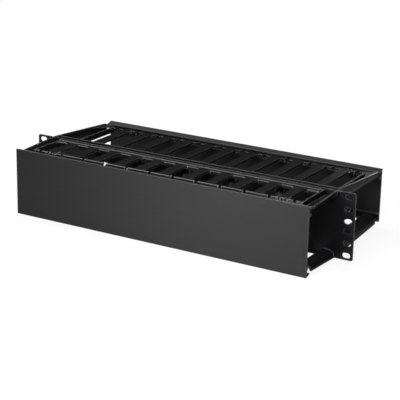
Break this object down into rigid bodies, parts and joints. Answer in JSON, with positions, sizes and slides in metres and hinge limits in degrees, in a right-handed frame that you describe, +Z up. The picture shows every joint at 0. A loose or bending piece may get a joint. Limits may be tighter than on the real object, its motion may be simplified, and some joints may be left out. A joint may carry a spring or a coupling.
{
  "type": "horizontal cable manager",
  "caption": "Two-sided horizontal cable manager for a 19 inch rack: slotted steel panel, finger combs that form a front and a rear duct, and hinged duct covers.",
  "frame": {"origin": "middle of the mounting panel's front face, where it meets the rack rails' plane", "axes": "+X to the right seen from the front, +Y from the front duct towards the rear duct, +Z up"},
  "size_m": [0.4826, 0.2221, 0.0908],
  "materials": {
    "panel_paint": "fine textured black powder coat",
    "comb_plastic": "fine matte black moulding",
    "cover_plastic": "satin black moulding",
    "screw_steel": "dark zinc plate"
  },
  "bodies": {
    "frame": {"mounting_panel": "panel_paint", "front_upper_comb": "comb_plastic", "front_lower_comb": "comb_plastic", "rear_upper_comb": "comb_plastic", "rear_lower_comb": "comb_plastic", "comb_screws": "screw_steel", "comb_washers": "screw_steel", "comb_nuts": "screw_steel"},
    "front_door": {"front_cover": "cover_plastic"},
    "rear_door": {"rear_cover": "cover_plastic"}
  },
  "joints": [
    {"name": "front_cover_hinge", "type": "hinge", "parent": "frame", "child": "front_door", "pos_m": [0, -0.0734, 0.03745], "axis": [-1, 0, 0], "range_deg": [0, 90]},
    {"name": "rear_cover_hinge", "type": "hinge", "parent": "frame", "child": "rear_door", "pos_m": [0, 0.13419, 0.02903], "axis": [1, 0, 0], "range_deg": [0, 90]}
  ]
}
